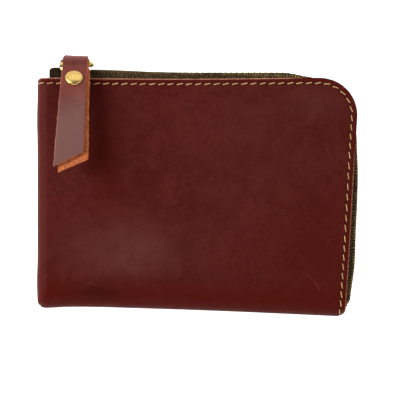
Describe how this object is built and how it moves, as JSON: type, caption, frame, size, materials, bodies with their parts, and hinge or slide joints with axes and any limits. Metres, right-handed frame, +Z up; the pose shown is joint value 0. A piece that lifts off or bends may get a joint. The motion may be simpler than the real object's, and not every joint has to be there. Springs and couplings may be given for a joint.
{
  "type": "zippered leather pouch",
  "caption": "Flat leather pouch closed by a brass zip along its top edge, round one rounded corner and down the side, with a folded leather pull strap on a ring.",
  "frame": {"origin": "middle of the base of the whole object's box, on the surface the pouch lies on", "axes": "+X runs along the zip's straight top run, from the slider's closed end to the rounded corner; +Y points out of the pouch past that run; +Z points up through the front panel"},
  "size_m": [0.128, 0.1042, 0.0272],
  "materials": {
    "body_leather": "pull-up leather, waxed satin, dark burgundy",
    "strap_leather": "pull-up leather, rubbed lighter, raw orange-brown edges",
    "lining_cloth": "plain woven cotton, matte",
    "tape_cloth": "dark olive woven zip tape, matte",
    "brass": "polished yellow brass",
    "thread": "waxed golden tan thread"
  },
  "bodies": {
    "root": {"back_panel": "body_leather", "front_panel": "body_leather", "back_lining": "lining_cloth", "front_lining": "lining_cloth", "zip_tape_front": "tape_cloth", "zip_tape_back": "tape_cloth", "zip_teeth_front": "brass", "zip_teeth_back": "brass", "top_stop_front": "brass", "top_stop_back": "brass", "bottom_stop": "brass", "front_stitching": "thread", "back_stitching": "thread", "seam_thread": "thread", "slip_pocket": "lining_cloth", "pocket_stitching": "thread"},
    "slider": {"slider_body": "brass"},
    "ring": {"pull_ring": "brass"},
    "strap": {"pull_strap": "strap_leather", "rivet_cap": "brass", "rivet_post": "brass"}
  },
  "joints": [
    {"name": "slider_travel", "type": "slide", "parent": "root", "child": "slider", "axis": [1, 0, 0], "range_m": [0, 0.079], "deforming": ["zip_teeth_front", "zip_teeth_back"]},
    {"name": "ring_swing", "type": "hinge", "parent": "slider", "child": "ring", "pos_m": [-0.05346, 0.04843, 0.0072], "axis": [0, 0, 1], "range_deg": [0, 175]},
    {"name": "strap_swing", "type": "hinge", "parent": "ring", "child": "strap", "pos_m": [-0.04786, 0.04843, 0.014], "axis": [-1, 0, 0], "range_deg": [-5, 90]}
  ]
}
